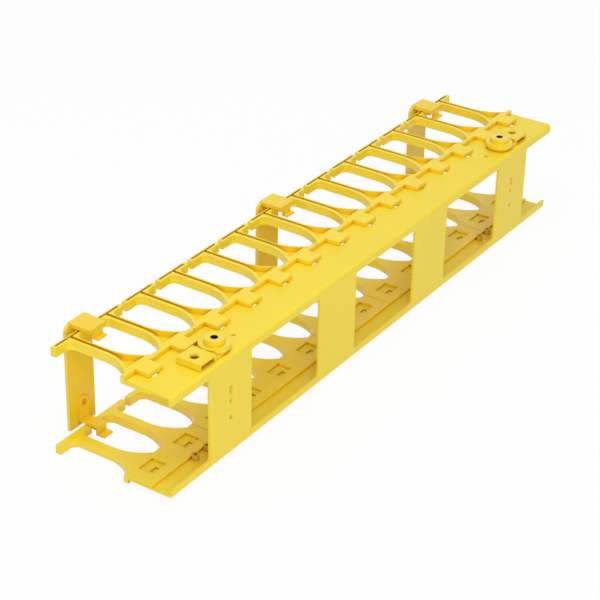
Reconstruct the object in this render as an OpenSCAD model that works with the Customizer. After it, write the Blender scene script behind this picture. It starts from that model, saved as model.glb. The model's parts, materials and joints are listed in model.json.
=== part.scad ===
// Vertical cable manager, lying on one side.
//
// A folded sheet channel carries a row of T-ended fingers on each flange
// edge. Straps hook over the two rows of T-bars, and two swivelling ears on
// the upper flange fasten the manager to a rack.
//
// +X runs along the channel, +Y from the web to the finger tips, +Z up. The
// origin is the middle of the footprint, at the level of the floor.

/* [Channel] */
// Length of one finger cell, one rack unit
pitch = 44.45; // [40:0.05:56]
// Fingers on each of the three short combs of a row
short_comb = 2; // [2:1:4]
// Fingers on each of the two long combs of a row
long_comb = 4; // [3:1:6]
// Outer height over both flanges
chan_h = 92.3; // [76:0.1:120]
// Depth of a flange, from the web's outer face to its edge
flange_d = 44; // [42:0.5:60]
// Thickness of the sheet
sheet = 2; // [1.6:0.1:2.6]
// Outer radius of the two long bends
bend_r = 3; // [3:0.5:5]

/* [Web] */
// Distance between neighbouring posts, in finger cells
post_cells = 3.5; // [2.5:0.5:3.5]
// Width of a post
post_w = 57; // [46:1:70]
// Height of the strip that the windows leave along each flange
strip_h = 8.2; // [5:0.1:12]
// Corner radius of the windows
window_r = 2; // [0.5:0.5:4]
// Diameter of the round holes in an end post
post_hole_d = 3.8; // [3:0.1:6]
// Height of the lower round hole over the lower flange's outer face
post_hole_z = 34.3; // [20:0.1:36]
// Distance between the two round holes
post_hole_pitch = 15.9; // [10:0.1:18]
// Distance from the upper round hole to the middle of the slot
slot_up = 10.2; // [8:0.1:12]
// Width of the slot
slot_w = 4.4; // [3:0.1:6]
// Height of the slot
slot_h = 8.2; // [6.5:0.1:10]

/* [Fingers] */
// Distance from the flange edge to the tip side of the T-bars
reach = 74.3; // [60:0.1:95]
// How far the combs stand out from the flange's outer face
comb_out = 3.7; // [3:0.1:5]
// Thickness of the comb's plate on the flange's inner face
plate_t = 2; // [1.6:0.1:3]
// Depth of that plate, from the flange edge towards the web
plate_d = 24; // [20:0.5:26]
// Width of the bead that wraps the flange edge
bead_w = 4.6; // [3.6:0.1:6]
// Clearance between a comb and the flange
comb_fit = 0.1; // [0.05:0.05:0.3]
// Gap between neighbouring combs
comb_gap = 0.5; // [0.2:0.1:1]
// Gap between neighbouring T-bars
bar_gap = 3.75; // [2:0.25:6]
// Width of a T-bar
bar_w = 5.3; // [4.5:0.1:8]
// Width of a finger's stem
stem_w = 7.4; // [6.5:0.1:10]
// Offset of a stem from the middle of its T-bar
stem_shift = 0.6; // [0:0.1:1.5]
// Width of the flared root where it meets the bead
flare_w = 32; // [22:0.5:36]
// Length of the flared root
flare_l = 29.4; // [20:0.1:36]
// Radius between a stem and its T-bar
bar_fillet = 6; // [2:0.5:8]
// Radius of the bead's outer corners
bead_r = 1.5; // [0.5:0.1:1.8]

/* [Finger troughs] */
// Depth of the trough in a finger's outer face
trough_d = 5.2; // [2:0.1:6]
// Rim on the tip side of the T-bar's trough
tip_rim = 1; // [0.8:0.1:1.6]
// Width of the T-bar's trough
bar_trough = 1.8; // [1:0.1:2.4]
// Rim left at each end of a T-bar
end_rim = 3.8; // [2:0.1:6]
// Near rim of the stem's trough
near_rim = 3.3; // [2:0.1:4]
// Far rim of the stem's trough
far_rim = 1.2; // [0.8:0.1:1.6]
// Rim between the trough and the bead
root_rim = 2; // [1:0.1:4]

/* [Snap tabs] */
// Width of a tab on the flange's outer face
tab_w = 17.5; // [12:0.5:22]
// Depth of a tab, from the flange edge towards the web
tab_d = 13; // [10:0.5:16]
// Width of the window in the plate behind a tab
port_w = 17.8; // [12:0.1:24]
// Depth of that window, from the flange edge towards the web
port_d = 14.2; // [10:0.1:18]
// Width of the square flange hole that a barb enters
catch_w = 7.7; // [5:0.1:10]
// Length of that hole, across the flange
catch_l = 6.6; // [5:0.1:8]
// How far the hole starts on the web side of the tab
catch_peek = 2; // [0:0.1:3]
// Clearance of a barb in its hole
barb_fit = 0.3; // [0.1:0.1:0.6]
// Height of a barb over its tab
barb_h = 1; // [0.6:0.1:1.6]

/* [Straps] */
// Width of a strap
strap_w = 32; // [24:1:36]
// Thickness of a strap
strap_t = 3; // [2:0.1:4]
// Gap between the T-bars and a strap
strap_stand = 6.7; // [4:0.1:9]
// Radius of a strap's upper corners
strap_corner = 6; // [2:0.5:8]
// Gap between a hook and the T-bars that it rests on
seat_gap = 0.3; // [0.1:0.1:0.6]
// Inside width of both hooks, from the strap to the leg
hook_open = 18.2; // [14:0.1:22]
// Width of the upper hook's bridge
bridge_w = 20.5; // [14:0.5:24]
// Thickness of the upper hook's bridge
bridge_t = 3.5; // [2:0.1:4]
// Width of the hooks' legs and of the lower bridge
leg_w = 11; // [8:0.5:14]
// Thickness of the legs and of the lower bridge
leg_t = 2.2; // [1.6:0.1:3]
// Drop of a leg below its bridge
leg_drop = 6.6; // [5:0.1:7]
// Length of the thumb tab at the foot of the upper leg
upper_thumb = 4; // [2:0.5:8]
// Length of the thumb tab at the foot of the lower leg
lower_thumb = 6.5; // [2:0.5:9]
// Thickness of the thumb tabs
thumb_t = 1.6; // [1:0.1:2.5]
// How far the latch pads stand in from the strap
pad_t = 2.5; // [1:0.1:3]
// Height of the lower latch pad over its bridge
pad_h = 20.5; // [14:0.5:24]
// Width of the window in a latch pad
pad_port_w = 5.6; // [3:0.1:7]
// Height of the window in a latch pad
pad_port_h = 6.4; // [4:0.1:9]

/* [Mounting ears] */
// Distance from the web's outer face to the line of ears and standoffs
ear_y = 16.35; // [15:0.05:18]
// Width of an ear
ear_w = 23; // [18:0.5:24]
// Thickness of an ear
ear_t = 2.2; // [1.5:0.1:2.6]
// Length of an ear, from its pivot to its end
ear_l = 34.4; // [32:0.1:40]
// Distance from the pivot to the ear's fastening hole
ear_hole_x = 26; // [24:0.1:27]
// Diameter of that hole
ear_hole_d = 7.5; // [5:0.1:9]
// Distance from the pivot to the step up to the raised end
ear_step_x = 13.4; // [13:0.1:16]
// Height of the raised end over the flange
ear_rise = 6; // [5:0.1:7]
// Length of the stop slot, across the ear
stop_l = 9; // [6:0.5:12]
// Width of the stop slot
stop_w = 3.4; // [2:0.1:3.6]
// Gap under and over an ear
ear_gap = 0.15; // [0.1:0.05:0.3]
// Radial clearance of an ear on its bushing
ear_run = 0.05; // [0.02:0.01:0.1]

/* [Bushings] */
// Diameter of the bushing's lower disc
disc_d = 25.8; // [22:0.1:26.2]
// Height of the lower disc's top over the flange
disc_top = 6.2; // [5.6:0.1:8]
// Diameter of the bushing's hub
hub_d = 17.2; // [12:0.1:20]
// Height of the hub's top over the flange
hub_top = 11; // [9:0.1:14]
// Diameter of the bore through a bushing
bush_bore_d = 6; // [4:0.1:6.6]
// Wall of the shank that passes through ear and flange
shank_wall = 1.5; // [1:0.1:2]
// Radial clearance of the shank in the flange
press_fit = 0.02; // [0.01:0.01:0.05]

/* [Standoffs] */
// Distance from the pivot line to the outer standoffs
outer_off = 26; // [22:0.1:27]
// Distance from the pivot line to the inner standoffs
inner_off = 10; // [7:0.1:16]
// Diameter of a standoff
standoff_d = 6.4; // [5:0.1:8]
// Height of a standoff over the flange
standoff_h = 5; // [3:0.1:8]
// Diameter of the hole through a standoff
standoff_bore = 3.3; // [2:0.1:3.6]
// Diameter of the shank pressed into the flange
standoff_shank = 4.6; // [4.2:0.1:5]
// Diameter of the small hole beside each ear
pilot_d = 4; // [2.5:0.1:6]

/* [Hidden] */
$fn = 64;
CUT = 1; // overshoot of a cutting body
LAP = 0.2; // overlap of shapes that are joined
NEAR = -1;
FAR = 1;

combs = [short_comb, long_comb, short_comb, long_comb, short_comb];
fingers = 3 * short_comb + 2 * long_comb;
chan_l = fingers * pitch;
post_pitch = post_cells * pitch;
end_post_x = 1.5 * post_pitch;
window_w = post_pitch - post_w;
strap_cells = [1, floor(fingers / 2), fingers - 1];

bead_y0 = flange_d + comb_fit;
bead_y1 = flange_d + bead_w;
comb_top = sheet + plate_t;
tip_y = flange_d + reach;
bar_y0 = tip_y - bar_w;
bar_l = pitch - bar_gap;
stem_x = bar_l / 2 + stem_shift;
flare_y = bead_y1 + flare_l;
flare_in = (flare_w - stem_w) / 2;
flare_r = (flare_in * flare_in + flare_l * flare_l) / (2 * flare_in);
tab_y0 = flange_d - tab_d;
catch_y0 = tab_y0 - catch_peek;

strap_y0 = tip_y + strap_stand;
depth = strap_y0 + strap_t;
leg_y1 = strap_y0 - hook_open;
leg_y0 = leg_y1 - leg_t;
upper_seat = chan_h + comb_out + seat_gap;
lower_seat = comb_top + seat_gap;

shank_d = bush_bore_d + 2 * shank_wall;
ear_z0 = ear_gap;
disc_z0 = ear_gap + ear_t + ear_gap;

// Number of fingers on the combs before comb i
function fingers_before(i) = i == 0 ? 0 : combs[i - 1] + fingers_before(i - 1);

// Moves a body from channel coordinates (near end, web face, lower flange
// face) to the origin of the whole manager
module place() {
    translate([-chan_l / 2, -depth / 2, comb_out])
        children();
}

// Repeats its children at one of the two pivots, with +X pointing to that end
module at_pivot(side, z) {
    translate([chan_l / 2 + side * end_post_x, ear_y, z])
        mirror([side == NEAR ? 1 : 0, 0, 0])
            children();
}

// ---- Channel ----

// Cross-section of the folded sheet, drawn as Y across and Z up
module channel_section() {
    difference() {
        rounded_back(flange_d, chan_h, bend_r);
        translate([sheet, sheet])
            rounded_back(flange_d, chan_h - 2 * sheet, bend_r - sheet);
    }
}

// Rectangle whose two corners on the web side are round
module rounded_back(d, h, r) {
    translate([r, 0])
        square([d - r, h]);
    translate([0, r])
        square([d, h - 2 * r]);
    for (y = [r, h - r])
        translate([r, y])
            circle(r = r);
}

// Rectangle with four round corners, centred
module rounded_rect(w, h, r) {
    square([w - 2 * r, h], center = true);
    square([w, h - 2 * r], center = true);
    for (x = [-1, 1], y = [-1, 1])
        translate([x * (w / 2 - r), y * (h / 2 - r)])
            circle(r = r);
}

// Stands a shape drawn in X and Z upright, as a cut through the web
module through_web() {
    translate([0, sheet + CUT, 0])
        rotate([90, 0, 0])
            linear_extrude(sheet + 2 * CUT)
                children();
}

module web_windows() {
    window_h = chan_h - 2 * strip_h;
    notch_w = chan_l / 2 - end_post_x - post_w / 2;
    through_web()
        translate([chan_l / 2, chan_h / 2]) {
            for (i = [-1, 0, 1])
                translate([i * post_pitch, 0])
                    rounded_rect(window_w, window_h, window_r);
            for (side = [NEAR, FAR])
                translate([side * (chan_l / 2 + CUT), 0])
                    rounded_rect(2 * (notch_w + CUT), window_h, window_r);
        }
}

module post_holes() {
    slot_z = post_hole_z + post_hole_pitch + slot_up;
    through_web()
        for (side = [NEAR, FAR])
            translate([chan_l / 2 + side * end_post_x, 0]) {
                for (z = [post_hole_z, post_hole_z + post_hole_pitch])
                    translate([0, z])
                        circle(d = post_hole_d);
                translate([0, slot_z])
                    rounded_rect(slot_w, slot_h, slot_w / 2 - 0.01);
            }
}

// Square holes along both flanges, one for each finger's barb
module catch_holes() {
    for (i = [0 : fingers - 1], z = [0, chan_h - sheet])
        translate([i * pitch + stem_x - catch_w / 2, catch_y0, z - CUT])
            cube([catch_w, catch_l, sheet + 2 * CUT]);
}

module upper_flange_holes() {
    for (side = [NEAR, FAR])
        at_pivot(side, chan_h - sheet - CUT) {
            cylinder(d = shank_d + 2 * press_fit, h = sheet + 2 * CUT);
            translate([ear_hole_x, 0, 0])
                cylinder(d = ear_hole_d, h = sheet + 2 * CUT);
            translate([-ear_hole_x, 0, 0])
                cylinder(d = pilot_d, h = sheet + 2 * CUT);
            translate([ear_step_x - stop_w, -stop_l / 2, 0])
                cube([stop_w, stop_l, sheet + 2 * CUT]);
        }
}

module lower_flange_holes() {
    for (side = [NEAR, FAR], x = [-outer_off, -inner_off, inner_off, outer_off])
        at_pivot(side, -CUT)
            translate([x, 0, 0])
                cylinder(d = standoff_shank + 2 * press_fit, h = sheet + 2 * CUT);
}

module channel() {
    color("gold")
        place()
            difference() {
                rotate([90, 0, 90])
                    linear_extrude(chan_l)
                        channel_section();
                web_windows();
                post_holes();
                catch_holes();
                upper_flange_holes();
                lower_flange_holes();
            }
}

// ---- Finger combs ----

// Flared root and stem of one finger; grow moves the near and far outlines
// inward, for the trough
module root_and_stem(y0, near_in, far_in) {
    difference() {
        translate([stem_x - flare_w / 2, y0])
            square([flare_w, flare_y - y0]);
        translate([stem_x - stem_w / 2 - flare_r, flare_y])
            circle(r = flare_r + near_in, $fn = 128);
        translate([stem_x + stem_w / 2 + flare_r, flare_y])
            circle(r = flare_r + far_in, $fn = 128);
    }
    translate([stem_x - stem_w / 2 + near_in, flare_y - LAP])
        square([stem_w - near_in - far_in, bar_y0 - flare_y + 2 * LAP]);
}

module t_bar() {
    nose = bar_w / 2;
    translate([0, bar_y0])
        square([bar_l - nose, bar_w]);
    translate([bar_l - nose, bar_y0 + nose])
        circle(r = nose);
    for (s = [-1, 1])
        difference() {
            translate([stem_x + s * (stem_w + bar_fillet - LAP) / 2, bar_y0 - (bar_fillet - LAP) / 2])
                square(bar_fillet + LAP, center = true);
            translate([stem_x + s * (stem_w / 2 + bar_fillet), bar_y0 - bar_fillet])
                circle(r = bar_fillet);
        }
}

module finger_outline() {
    root_and_stem(bead_y0, 0, 0);
    t_bar();
}

module trough_outline() {
    trough_y1 = tip_y - tip_rim;
    root_and_stem(bead_y1 + root_rim, near_rim, far_rim);
    translate([stem_x - stem_w / 2 + near_rim, bar_y0])
        square([stem_w - near_rim - far_rim, trough_y1 - bar_y0]);
    translate([end_rim, trough_y1 - bar_trough])
        square([bar_l - 2 * end_rim, bar_trough]);
}

// Cross-section of the bead, drawn as Y across and Z up
module bead_section() {
    h = comb_out + comb_top;
    translate([bead_y0, -comb_out])
        square([bead_w - comb_fit - bead_r, h]);
    translate([bead_y0, bead_r - comb_out])
        square([bead_w - comb_fit, h - 2 * bead_r]);
    for (z = [bead_r, h - bead_r])
        translate([bead_y1 - bead_r, z - comb_out])
            circle(r = bead_r);
}

// Comb of n fingers for the lower flange; its outer face looks down
module comb_body(n) {
    half_gap = comb_gap / 2;
    length = n * pitch - comb_gap;
    cell_mid = pitch / 2;
    difference() {
        union() {
            for (i = [0 : n - 1])
                translate([i * pitch, 0, -comb_out])
                    linear_extrude(comb_out + comb_top)
                        finger_outline();
            translate([half_gap, 0, 0])
                rotate([90, 0, 90])
                    linear_extrude(length)
                        bead_section();
            translate([half_gap, flange_d - plate_d, sheet + comb_fit])
                cube([length, plate_d + comb_fit + LAP, plate_t - comb_fit]);
            for (i = [0 : n - 1])
                translate([i * pitch + cell_mid - tab_w / 2, tab_y0, -comb_out])
                    cube([tab_w, tab_d + comb_fit + LAP, comb_out - comb_fit]);
            for (i = [0 : n - 1])
                translate([i * pitch + stem_x, 0, 0])
                    barb();
        }
        for (i = [0 : n - 1]) {
            translate([i * pitch, 0, -comb_out - CUT])
                linear_extrude(trough_d + CUT)
                    trough_outline();
            translate([i * pitch + cell_mid - port_w / 2, flange_d - port_d, sheet + comb_fit - CUT])
                cube([port_w, port_d + comb_fit, plate_t + 2 * CUT]);
        }
    }
}

// Wedge on a tab that catches the tip side of its flange hole
module barb() {
    barb_w = catch_w - 2 * barb_fit;
    y1 = catch_y0 + catch_l - barb_fit;
    translate([-barb_w / 2, 0, 0])
        rotate([90, 0, 90])
            linear_extrude(barb_w)
                polygon([
                    [tab_y0, -comb_fit - LAP],
                    [tab_y0, -comb_fit],
                    [(tab_y0 + y1) / 2, barb_h - comb_fit],
                    [y1, barb_h - comb_fit],
                    [y1, -comb_fit - LAP]
                ]);
}

module lower_comb(i) {
    color("gold")
        place()
            translate([fingers_before(i) * pitch, 0, 0])
                comb_body(combs[i]);
}

module upper_comb(i) {
    color("gold")
        place()
            translate([fingers_before(i) * pitch, 0, chan_h])
                mirror([0, 0, 1])
                    comb_body(combs[i]);
}

// ---- Straps ----

// Latch pad on the strap's inner face, round at the top, seen from the web
module pad_outline(h) {
    r = leg_w / 2;
    translate([-r, 0])
        square([leg_w, h - r]);
    translate([0, h - r])
        circle(r = r);
}

// Extrudes a shape drawn in X and Z towards the web, from the plane y
module towards_web(y, t) {
    translate([0, y, 0])
        rotate([90, 0, 0])
            linear_extrude(t)
                children();
}

// Upright plate of a strap, with its upper corners rounded
module strap_plate() {
    top = upper_seat + bridge_t - 1;
    towards_web(depth, strap_t) {
        translate([-strap_w / 2, 0])
            square([strap_w, top - strap_corner]);
        translate([strap_corner - strap_w / 2, 0])
            square([strap_w - 2 * strap_corner, top]);
        for (s = [-1, 1])
            translate([s * (strap_w / 2 - strap_corner), top - strap_corner])
                circle(r = strap_corner);
    }
}

// One hook: bridge, leg and thumb tab, drawn as Y across and Z up
module hook_section(bridge, thumb, back) {
    foot = -leg_drop;
    translate([leg_y0, 0])
        square([depth - back - leg_y0, bridge]);
    translate([leg_y0, foot])
        square([leg_t, leg_drop + LAP]);
    translate([leg_y0 - thumb, foot])
        square([thumb + LAP, thumb_t]);
}

module hook(seat, bridge, bridge_w, thumb, back) {
    translate([-bridge_w / 2, 0, seat])
        rotate([90, 0, 90])
            linear_extrude(bridge_w)
                translate([leg_y0, 0])
                    square([depth - back - leg_y0, bridge]);
    translate([-leg_w / 2, 0, seat])
        rotate([90, 0, 90])
            linear_extrude(leg_w)
                hook_section(bridge, thumb, back);
}

module strap() {
    pad_z0 = lower_seat + leg_t - LAP;
    window_z = lower_seat + leg_t + pad_h - leg_w / 2;
    upper_window_z = upper_seat - pad_h + leg_w / 2;
    difference() {
        union() {
            strap_plate();
            hook(upper_seat, bridge_t, bridge_w, upper_thumb, 0);
            hook(lower_seat, leg_t, leg_w, lower_thumb, LAP);
            towards_web(strap_y0 + LAP, pad_t + LAP) {
                translate([0, pad_z0])
                    pad_outline(pad_h + LAP);
                translate([0, upper_seat + LAP])
                    mirror([0, 1])
                        pad_outline(pad_h + LAP);
            }
        }
        for (z = [window_z, upper_window_z])
            towards_web(depth + CUT, strap_t + pad_t + 2 * CUT)
                translate([0, z])
                    square([pad_port_w, pad_port_h], center = true);
    }
}

module strap_at(cell) {
    color("gold")
        place()
            translate([cell * pitch - bar_gap / 2, 0, 0])
                strap();
}

// ---- Mounting ears ----

// Side view of an ear, drawn as X outward and Z up
module ear_section() {
    translate([0, ear_z0])
        square([ear_step_x + ear_t, ear_t]);
    translate([ear_step_x, ear_z0])
        square([ear_t, ear_rise - ear_z0]);
    translate([ear_step_x, ear_rise - ear_t])
        square([ear_l - ear_step_x, ear_t]);
    translate([ear_l - ear_t, ear_z0])
        square([ear_t, ear_rise - ear_z0]);
}

module ear(side) {
    color("gold")
        place()
            at_pivot(side, chan_h)
                difference() {
                    union() {
                        translate([0, ear_w / 2, 0])
                            rotate([90, 0, 0])
                                linear_extrude(ear_w)
                                    ear_section();
                        translate([0, 0, ear_z0])
                            cylinder(d = ear_w, h = ear_t);
                    }
                    translate([0, 0, -CUT])
                        cylinder(d = shank_d + 2 * ear_run, h = ear_t + 2 * CUT);
                    translate([ear_hole_x, 0, ear_rise - ear_t - CUT])
                        cylinder(d = ear_hole_d, h = ear_t + 2 * CUT);
                    translate([ear_step_x - stop_w, -stop_l / 2, ear_z0 - CUT])
                        cube([stop_w, stop_l, ear_t + 2 * CUT]);
                }
}

// ---- Bushings ----

// Half section of a stepped bushing, radius across and Z over the flange up;
// the shank is pressed into the flange and ends flush with its inner face
module bushing_section() {
    polygon([
        [bush_bore_d / 2, -sheet],
        [shank_d / 2, -sheet],
        [shank_d / 2, disc_z0],
        [disc_d / 2, disc_z0],
        [disc_d / 2, disc_top],
        [hub_d / 2, disc_top],
        [hub_d / 2, hub_top],
        [bush_bore_d / 2, hub_top]
    ]);
}

module bushing(side) {
    color("gold")
        place()
            at_pivot(side, chan_h)
                rotate_extrude()
                    bushing_section();
}

// ---- Standoffs ----

module standoff() {
    difference() {
        union() {
            translate([0, 0, sheet])
                cylinder(d = standoff_d, h = standoff_h);
            cylinder(d = standoff_shank, h = sheet + LAP);
        }
        translate([0, 0, -CUT])
            cylinder(d = standoff_bore, h = sheet + standoff_h + 2 * CUT);
    }
}

module standoffs(side) {
    color("goldenrod")
        place()
            for (x = [-outer_off, -inner_off, inner_off, outer_off])
                at_pivot(side, 0)
                    translate([x, 0, 0])
                        standoff();
}

channel();
upper_comb(0);  // upper_comb_1
upper_comb(1);  // upper_comb_2
upper_comb(2);  // upper_comb_3
upper_comb(3);  // upper_comb_4
upper_comb(4);  // upper_comb_5
lower_comb(0);  // lower_comb_1
lower_comb(1);  // lower_comb_2
lower_comb(2);  // lower_comb_3
lower_comb(3);  // lower_comb_4
lower_comb(4);  // lower_comb_5
strap_at(strap_cells[0]);  // strap_near
strap_at(strap_cells[1]);  // strap_middle
strap_at(strap_cells[2]);  // strap_far
ear(NEAR);  // ear_near
ear(FAR);  // ear_far
bushing(NEAR);  // bushing_near
bushing(FAR);  // bushing_far
standoffs(NEAR);  // standoffs_near
standoffs(FAR);  // standoffs_far
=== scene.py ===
"""Finishes and stage for a vertical cable manager.

Laid out as an add-on and run as a script. Each operator finishes one group of
pieces, and the last one builds the floor, the lights and the camera.
"""

import json
import math

import bmesh
import bpy
from bpy.props import FloatProperty, FloatVectorProperty, PointerProperty
from mathutils import Matrix, Vector


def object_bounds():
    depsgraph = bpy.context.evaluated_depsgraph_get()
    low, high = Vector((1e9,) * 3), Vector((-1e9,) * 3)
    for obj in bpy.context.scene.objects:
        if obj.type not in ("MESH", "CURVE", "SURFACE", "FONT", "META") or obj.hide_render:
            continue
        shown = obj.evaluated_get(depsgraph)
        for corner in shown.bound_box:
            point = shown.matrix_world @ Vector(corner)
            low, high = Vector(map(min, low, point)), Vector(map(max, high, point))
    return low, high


bl_info = {
    "name": "Vertical Cable Manager",
    "version": (1, 0, 0),
    "blender": (4, 5, 0),
    "location": "3D View > Sidebar > Cable Manager",
    "description": "Finishes and stage for a finger-duct cable manager",
    "category": "Object",
}

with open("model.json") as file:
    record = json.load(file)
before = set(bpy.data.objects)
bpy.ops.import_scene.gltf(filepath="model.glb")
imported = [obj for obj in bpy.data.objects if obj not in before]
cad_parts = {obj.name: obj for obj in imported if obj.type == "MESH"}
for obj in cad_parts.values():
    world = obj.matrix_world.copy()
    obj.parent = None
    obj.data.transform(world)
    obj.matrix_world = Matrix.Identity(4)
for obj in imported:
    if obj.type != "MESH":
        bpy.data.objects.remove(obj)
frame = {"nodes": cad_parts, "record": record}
CAD_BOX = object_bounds()

MOTTLE_SCALE = 18.0                    # slow change of tone, per metre
MOTTLE_SHARE = (0.965, 0.935, 0.8)     # of the colour, where the tone is deepest
# Painted shade in creases: an ambient occlusion ramp darkens the coat to warm orange and then
# red-brown in grooves and tight corners, where shade and bounced yellow light fall.
CREASE_SHADE_START, CREASE_SHADE_MIDDLE, CREASE_SHADE_END = 0.08, 0.36, 0.72
CREASE_SHADE_WARMTH = (0.96, 0.74, 0.42)
CREASE_SHADE_SAMPLES = 12
EDGE_SAMPLES = 6
COAT_ROUGHNESS = 0.3
GRAIN_STRENGTH = 0.35
BORE_SHADE_MARGIN = 0.0002                   # how far the painted near-black shade of a bore reaches past its wall
FLOOR_GAP = 0.0004                     # between the object's lowest point and the floor
KEY_PLACE, KEY_SIZE = (-0.25, -0.15, 1.6), 1.4
FILL_PLACE, FILL_SIZE = (-1.5, -1.2, 0.9), 1.2

# Roughness, grain per metre, depth of the grain in metres and weight of the clear coat
SHEET_SURFACE = (0.42, 620.0, 0.00025, 0.12)
COMB_SURFACE = (0.36, 1400.0, 0.00012, 0.15)
STRAP_SURFACE = (0.38, 1200.0, 0.00015, 0.1)
EAR_SURFACE = (0.40, 700.0, 0.0002, 0.12)
BUSHING_SURFACE = (0.34, 900.0, 0.00012, 0.2)
STANDOFF_SURFACE = (0.36, 1100.0, 0.0001, 0.1)


class FinishSettings(bpy.types.PropertyGroup):
    """Colours and surface of the yellow parts."""

    sheet_color: FloatVectorProperty(
        name="Sheet", description="Powder coat on the channel and the ears",
        subtype="COLOR", size=3, min=0, max=1, default=(0.90, 0.70, 0.018))
    comb_color: FloatVectorProperty(
        name="Combs", description="Moulded plastic of the finger combs",
        subtype="COLOR", size=3, min=0, max=1, default=(0.93, 0.71, 0.016))
    strap_color: FloatVectorProperty(
        name="Straps", description="Moulded plastic of the straps",
        subtype="COLOR", size=3, min=0, max=1, default=(0.91, 0.64, 0.014))
    bushing_color: FloatVectorProperty(
        name="Bushings", description="Coat on the stepped bushings",
        subtype="COLOR", size=3, min=0, max=1, default=(0.90, 0.69, 0.025))
    standoff_color: FloatVectorProperty(
        name="Standoffs", description="Coat on the pressed-in standoffs",
        subtype="COLOR", size=3, min=0, max=1, default=(0.62, 0.40, 0.035))
    # Painted shade: the crease colour is shade painted into grooves and tight corners, not a tint
    # of the coat.
    crease_shade_color: FloatVectorProperty(
        name="Creases", description="Tint that the coat takes in grooves and tight corners",
        subtype="COLOR", size=3, min=0, max=1, default=(0.52, 0.14, 0.02))
    # Painted shade: the near-black bore colour is shade painted inside the bushings' bores, not
    # bare steel.
    bore_shade_color: FloatVectorProperty(
        name="Bores", description="Bare dark steel inside the threaded bores",
        subtype="COLOR", size=3, min=0, max=1, default=(0.02, 0.015, 0.012))
    # How far the painted crease shade spreads.
    crease_shade_reach: FloatProperty(
        name="Crease reach", description="How far the tint of a crease spreads",
        subtype="DISTANCE", unit="LENGTH", min=0.001, max=0.02, default=0.007)
    edge_radius: FloatProperty(
        name="Edge radius", description="Rounding that the light catches on sharp edges",
        subtype="DISTANCE", unit="LENGTH", min=0, max=0.002, default=0.0005)


class StageSettings(bpy.types.PropertyGroup):
    """Camera, lights and floor."""

    azimuth: FloatProperty(
        name="Azimuth", description="Direction of the camera round the object",
        subtype="ANGLE", unit="ROTATION", default=math.radians(-56.698))
    elevation: FloatProperty(
        name="Elevation", description="Height of the camera over the horizon",
        subtype="ANGLE", unit="ROTATION", default=math.radians(29.589))
    roll: FloatProperty(
        name="Roll", description="Turn of the camera about its own axis",
        subtype="ANGLE", unit="ROTATION", default=math.radians(1.256))
    distance: FloatProperty(
        name="Distance", description="From the camera to its target",
        subtype="DISTANCE", unit="LENGTH", min=0.5, default=1.6728)
    target: FloatVectorProperty(
        name="Target", description="Point that the camera looks at",
        subtype="TRANSLATION", unit="LENGTH", size=3, default=(-0.0252, 0.0093, 0.0255))
    lens: FloatProperty(
        name="Lens", description="Focal length on a 36 mm sensor",
        unit="CAMERA", min=20, default=111.2)
    ambient: FloatProperty(
        name="Ambient", description="Strength of the even white light from all round",
        min=0, max=2, default=0.55)
    key_power: FloatProperty(
        name="Key", description="Power of the soft light overhead",
        subtype="POWER", unit="POWER", min=0, default=10.5)
    fill_power: FloatProperty(
        name="Fill", description="Power of the soft light on the camera's side",
        subtype="POWER", unit="POWER", min=0, default=12.0)
    floor_color: FloatVectorProperty(
        name="Floor", description="Colour of the floor",
        subtype="COLOR", size=3, min=0, max=1, default=(0.9, 0.9, 0.9))
    floor_glow: FloatProperty(
        name="Floor glow", description="Share of plain white in the floor as the camera sees it",
        subtype="FACTOR", min=0, max=1, default=0.93)
    floor_size: FloatProperty(
        name="Floor size", description="Width of the floor",
        subtype="DISTANCE", unit="LENGTH", min=2, default=14.0)


def node_of(tree, kind, values=None, **options):
    """Adds a node, sets its options and its sockets' plain values."""
    node = tree.nodes.new(kind)
    for key, value in options.items():
        setattr(node, key, value)
    for key, value in (values or {}).items():
        node.inputs[key].default_value = value
    return node


def rgba(color):
    """Colour with full alpha."""
    return (color[0], color[1], color[2], 1.0)


def object_noise(tree, scale, detail, roughness=0.5):
    """Noise on Object coordinates, so it stays on the piece."""
    coords = node_of(tree, "ShaderNodeTexCoord")
    noise = node_of(tree, "ShaderNodeTexNoise",
                    {"Scale": scale, "Detail": detail, "Roughness": roughness})
    tree.links.new(coords.outputs["Object"], noise.inputs["Vector"])
    return noise


def ranged(tree, value, low, high):
    """Maps the middle of a noise to a range of roughness."""
    node = node_of(tree, "ShaderNodeMapRange",
                   {"From Min": 0.3, "From Max": 0.7, "To Min": low, "To Max": high})
    tree.links.new(value, node.inputs["Value"])
    return node.outputs["Result"]


def mixed(tree, factor, a, b, blend="MIX"):
    """Colour mix; a and b are colours or sockets."""
    node = node_of(tree, "ShaderNodeMix", data_type="RGBA", blend_type=blend)
    for socket, source in ((node.inputs[0], factor), (node.inputs[6], a), (node.inputs[7], b)):
        if isinstance(source, bpy.types.NodeSocket):
            tree.links.new(source, socket)
        else:
            socket.default_value = source
    return node.outputs[2]


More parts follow.
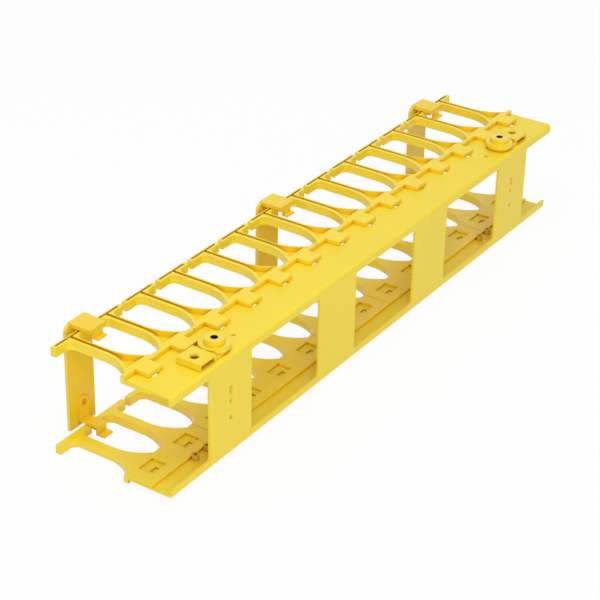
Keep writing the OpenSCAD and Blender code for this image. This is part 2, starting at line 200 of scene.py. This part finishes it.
def coat_material(name, color, settings, surface):
    """Yellow finish: slow mottling, fine peel or grain, painted shade in creases (orange to
    red-brown) and soft edges.
    """
    roughness, grain_scale, grain_depth, coat = surface
    material = bpy.data.materials.new(name)
    material.use_nodes = True
    material.diffuse_color = rgba(color)
    tree = material.node_tree
    shader = tree.nodes["Principled BSDF"]
    shader.inputs["Coat Weight"].default_value = coat
    shader.inputs["Coat Roughness"].default_value = COAT_ROUGHNESS

    mottle = object_noise(tree, MOTTLE_SCALE, 3.0)
    deep = [channel * share for channel, share in zip(color, MOTTLE_SHARE)]
    base = mixed(tree, mottle.outputs["Fac"], rgba(color), rgba(deep))

    # Painted shade: ambient occlusion drives a ramp that darkens the colour to orange and
    # red-brown in creases.
    crease_shade_ao = node_of(tree, "ShaderNodeAmbientOcclusion", {"Distance": settings.crease_shade_reach},
                     samples=CREASE_SHADE_SAMPLES)
    ramp = node_of(tree, "ShaderNodeValToRGB")
    ramp.color_ramp.elements[0].position = CREASE_SHADE_START
    ramp.color_ramp.elements[0].color = rgba(settings.crease_shade_color)
    ramp.color_ramp.elements[1].position = CREASE_SHADE_END
    ramp.color_ramp.elements[1].color = (1.0, 1.0, 1.0, 1.0)
    # Middle stop: painted warm shade where bounced yellow light fills a crease.
    warm = ramp.color_ramp.elements.new(CREASE_SHADE_MIDDLE)
    warm.color = rgba(CREASE_SHADE_WARMTH)
    tree.links.new(crease_shade_ao.outputs["AO"], ramp.inputs["Fac"])
    crease_shaded = mixed(tree, 1.0, base, ramp.outputs["Color"], "MULTIPLY")
    tree.links.new(crease_shaded, shader.inputs["Base Color"])

    grain = object_noise(tree, grain_scale, 4.0, 0.6)
    tree.links.new(ranged(tree, grain.outputs["Fac"], roughness - 0.05, roughness + 0.07),
                   shader.inputs["Roughness"])
    edge = node_of(tree, "ShaderNodeBevel", {"Radius": settings.edge_radius},
                   samples=EDGE_SAMPLES)
    bump = node_of(tree, "ShaderNodeBump", {"Strength": GRAIN_STRENGTH, "Distance": grain_depth})
    tree.links.new(grain.outputs["Fac"], bump.inputs["Height"])
    tree.links.new(edge.outputs["Normal"], bump.inputs["Normal"])
    tree.links.new(bump.outputs["Normal"], shader.inputs["Normal"])
    return material


def paint_bore_shade(material, centre, radius, color):
    """Paints near-black shade into the material inside a bore that runs along Z."""
    tree = material.node_tree
    shader = tree.nodes["Principled BSDF"]
    coords = node_of(tree, "ShaderNodeTexCoord")
    shift = node_of(tree, "ShaderNodeVectorMath", {1: (centre[0], centre[1], 0.0)},
                    operation="SUBTRACT")
    flatten = node_of(tree, "ShaderNodeVectorMath", {1: (1.0, 1.0, 0.0)}, operation="MULTIPLY")
    length = node_of(tree, "ShaderNodeVectorMath", operation="LENGTH")
    inside = node_of(tree, "ShaderNodeMath", {1: radius}, operation="LESS_THAN")
    tree.links.new(coords.outputs["Object"], shift.inputs[0])
    tree.links.new(shift.outputs[0], flatten.inputs[0])
    tree.links.new(flatten.outputs[0], length.inputs[0])
    tree.links.new(length.outputs["Value"], inside.inputs[0])
    before = shader.inputs["Base Color"].links[0].from_socket
    darkened = mixed(tree, inside.outputs[0], before, rgba(color))
    tree.links.new(darkened, shader.inputs["Base Color"])


def cover(node_names, material):
    """Puts one material on every slot of these CAD nodes."""
    for name in node_names:
        mesh = frame["nodes"][name].data
        if not mesh.materials:
            mesh.materials.append(material)
        for index in range(len(mesh.materials)):
            mesh.materials[index] = material


def nodes_named(start):
    """Names of the CAD nodes that begin with start."""
    names = sorted(name for name in frame["nodes"] if name.startswith(start))
    if not names:
        raise RuntimeError("the frame has no node called " + start)
    return names


class CABLEMANAGER_OT_channel(bpy.types.Operator):
    """Powder coat the folded channel"""

    bl_idname = "cable_manager.channel"
    bl_label = "Finish Channel"

    def execute(self, context):
        look = context.scene.cable_manager_finish
        coat = coat_material("sheet_coat", look.sheet_color, look, SHEET_SURFACE)
        cover(["channel"], coat)
        return {"FINISHED"}


class CABLEMANAGER_OT_combs(bpy.types.Operator):
    """Give the finger combs their moulded plastic"""

    bl_idname = "cable_manager.combs"
    bl_label = "Finish Combs"

    def execute(self, context):
        look = context.scene.cable_manager_finish
        plastic = coat_material("comb_plastic", look.comb_color, look, COMB_SURFACE)
        cover(nodes_named("upper_comb") + nodes_named("lower_comb"), plastic)
        return {"FINISHED"}


class CABLEMANAGER_OT_straps(bpy.types.Operator):
    """Give the straps their moulded plastic"""

    bl_idname = "cable_manager.straps"
    bl_label = "Finish Straps"

    def execute(self, context):
        look = context.scene.cable_manager_finish
        plastic = coat_material("strap_plastic", look.strap_color, look, STRAP_SURFACE)
        cover(nodes_named("strap"), plastic)
        return {"FINISHED"}


class CABLEMANAGER_OT_ears(bpy.types.Operator):
    """Powder coat the mounting ears"""

    bl_idname = "cable_manager.ears"
    bl_label = "Finish Ears"

    def execute(self, context):
        look = context.scene.cable_manager_finish
        coat = coat_material("ear_coat", look.sheet_color, look, EAR_SURFACE)
        cover(nodes_named("ear"), coat)
        return {"FINISHED"}


class CABLEMANAGER_OT_bushings(bpy.types.Operator):
    """Coat the stepped bushings and paint near-black shade inside their bores"""

    bl_idname = "cable_manager.bushings"
    bl_label = "Finish Bushings"

    def execute(self, context):
        look = context.scene.cable_manager_finish
        mounts = {mount["name"]: mount for mount in frame["record"]["mounts"]}
        for name in nodes_named("bushing"):
            bore = mounts[name.replace("bushing", "bushing_bore")]
            coat = coat_material(name + "_coat", look.bushing_color, look, BUSHING_SURFACE)
            radius = bore["dims"]["r_mm"] / 1000 + BORE_SHADE_MARGIN
            # Painted shade: near-black inside the bore, in place of the shade that falls there.
            paint_bore_shade(coat, bore["pos_m"], radius, look.bore_shade_color)
            cover([name], coat)
        return {"FINISHED"}


class CABLEMANAGER_OT_standoffs(bpy.types.Operator):
    """Coat the standoffs that are pressed into the lower flange"""

    bl_idname = "cable_manager.standoffs"
    bl_label = "Finish Standoffs"

    def execute(self, context):
        look = context.scene.cable_manager_finish
        coat = coat_material("standoff_coat", look.standoff_color, look, STANDOFF_SURFACE)
        cover(nodes_named("standoffs"), coat)
        return {"FINISHED"}


def seen_directly(tree, share):
    """Light Path factor for what the camera, a reflection or glass sees."""
    path = node_of(tree, "ShaderNodeLightPath")
    both = node_of(tree, "ShaderNodeMath", operation="MAXIMUM")
    every = node_of(tree, "ShaderNodeMath", operation="MAXIMUM")
    scaled = node_of(tree, "ShaderNodeMath", {1: share}, operation="MULTIPLY")
    tree.links.new(path.outputs["Is Camera Ray"], both.inputs[0])
    tree.links.new(path.outputs["Is Glossy Ray"], both.inputs[1])
    tree.links.new(both.outputs[0], every.inputs[0])
    tree.links.new(path.outputs["Is Transmission Ray"], every.inputs[1])
    tree.links.new(every.outputs[0], scaled.inputs[0])
    return scaled.outputs[0]


def build_world(stage):
    """Even white surroundings, plain white to the camera."""
    world = bpy.data.worlds.new("studio")
    bpy.context.scene.world = world
    world.use_nodes = True
    tree = world.node_tree
    tree.nodes.clear()
    lit = node_of(tree, "ShaderNodeBackground", {"Color": (1, 1, 1, 1), "Strength": stage.ambient})
    seen = node_of(tree, "ShaderNodeBackground", {"Color": (1, 1, 1, 1), "Strength": 1.0})
    mix = node_of(tree, "ShaderNodeMixShader")
    output = node_of(tree, "ShaderNodeOutputWorld")
    tree.links.new(seen_directly(tree, 1.0), mix.inputs[0])
    tree.links.new(lit.outputs[0], mix.inputs[1])
    tree.links.new(seen.outputs[0], mix.inputs[2])
    tree.links.new(mix.outputs[0], output.inputs[0])


def build_floor(stage):
    """Pale floor that keeps a faint shadow of the object."""
    shape = bmesh.new()
    bmesh.ops.create_grid(shape, x_segments=1, y_segments=1, size=stage.floor_size / 2)
    bmesh.ops.translate(shape, vec=(0.0, 0.0, CAD_BOX[0][2] - FLOOR_GAP), verts=shape.verts)
    mesh = bpy.data.meshes.new("floor")
    shape.to_mesh(mesh)
    shape.free()
    floor = bpy.data.objects.new("floor", mesh)
    bpy.context.scene.collection.objects.link(floor)

    material = bpy.data.materials.new("floor_paper")
    material.use_nodes = True
    tree = material.node_tree
    shader = tree.nodes["Principled BSDF"]
    shader.inputs["Base Color"].default_value = rgba(stage.floor_color)
    shader.inputs["Roughness"].default_value = 0.9
    glow = node_of(tree, "ShaderNodeEmission", {"Color": (1, 1, 1, 1), "Strength": 1.0})
    mix = node_of(tree, "ShaderNodeMixShader")
    output = tree.nodes["Material Output"]
    tree.links.new(seen_directly(tree, stage.floor_glow), mix.inputs[0])
    tree.links.new(shader.outputs[0], mix.inputs[1])
    tree.links.new(glow.outputs[0], mix.inputs[2])
    tree.links.new(mix.outputs[0], output.inputs["Surface"])
    mesh.materials.append(material)


def build_softbox(name, place, power, size):
    """Square soft light that faces the middle of the object."""
    lamp = bpy.data.lights.new(name, "AREA")
    lamp.shape = "SQUARE"
    lamp.size = size
    lamp.energy = power
    light = bpy.data.objects.new(name, lamp)
    bpy.context.scene.collection.objects.link(light)
    light.location = place
    middle = (Vector(CAD_BOX[0]) + Vector(CAD_BOX[1])) / 2
    light.rotation_euler = (middle - light.location).to_track_quat("-Z", "Y").to_euler()


def build_camera(stage):
    """Camera on its target, from the set direction and distance."""
    data = bpy.data.cameras.new("camera")
    data.lens = stage.lens
    data.sensor_width = 36.0
    data.clip_end = 50.0
    camera = bpy.data.objects.new("camera", data)
    bpy.context.scene.collection.objects.link(camera)
    level = math.cos(stage.elevation)
    back = Vector((math.sin(stage.azimuth) * level, -math.cos(stage.azimuth) * level,
                   math.sin(stage.elevation)))
    side = (-back).cross(Vector((0.0, 0.0, 1.0))).normalized()
    above = side.cross(-back)
    right = math.cos(stage.roll) * side + math.sin(stage.roll) * above
    up = math.cos(stage.roll) * above - math.sin(stage.roll) * side
    turn = Matrix((right, up, back)).transposed().to_4x4()
    camera.matrix_world = Matrix.Translation(Vector(stage.target) + back * stage.distance) @ turn
    bpy.context.scene.camera = camera


class CABLEMANAGER_OT_stage(bpy.types.Operator):
    """Build the floor, the soft lights and the camera"""

    bl_idname = "cable_manager.stage"
    bl_label = "Build Stage"

    def execute(self, context):
        stage = context.scene.cable_manager_stage
        context.scene.view_settings.view_transform = "Standard"
        build_world(stage)
        build_floor(stage)
        build_softbox("key", KEY_PLACE, stage.key_power, KEY_SIZE)
        build_softbox("fill", FILL_PLACE, stage.fill_power, FILL_SIZE)
        build_camera(stage)
        return {"FINISHED"}


STEPS = (
    CABLEMANAGER_OT_channel,
    CABLEMANAGER_OT_combs,
    CABLEMANAGER_OT_straps,
    CABLEMANAGER_OT_ears,
    CABLEMANAGER_OT_bushings,
    CABLEMANAGER_OT_standoffs,
    CABLEMANAGER_OT_stage,
)


class CABLEMANAGER_PT_panel(bpy.types.Panel):
    """Lists the steps that finish the cable manager"""

    bl_idname = "CABLEMANAGER_PT_panel"
    bl_label = "Cable Manager"
    bl_space_type = "VIEW_3D"
    bl_region_type = "UI"
    bl_category = "Cable Manager"

    def draw(self, context):
        for step in STEPS:
            self.layout.operator(step.bl_idname)


CLASSES = (FinishSettings, StageSettings, *STEPS, CABLEMANAGER_PT_panel)


def register():
    """Register the classes and hang their settings on the scene."""
    for cls in CLASSES:
        bpy.utils.register_class(cls)
    bpy.types.Scene.cable_manager_finish = PointerProperty(type=FinishSettings)
    bpy.types.Scene.cable_manager_stage = PointerProperty(type=StageSettings)


def unregister():
    """Take the settings and the classes away again."""
    del bpy.types.Scene.cable_manager_stage
    del bpy.types.Scene.cable_manager_finish
    for cls in reversed(CLASSES):
        bpy.utils.unregister_class(cls)


def main():
    """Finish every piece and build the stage."""
    register()
    bpy.ops.cable_manager.channel()
    bpy.ops.cable_manager.combs()
    bpy.ops.cable_manager.straps()
    bpy.ops.cable_manager.ears()
    bpy.ops.cable_manager.bushings()
    bpy.ops.cable_manager.standoffs()
    bpy.ops.cable_manager.stage()


if __name__ == "__main__":
    main()
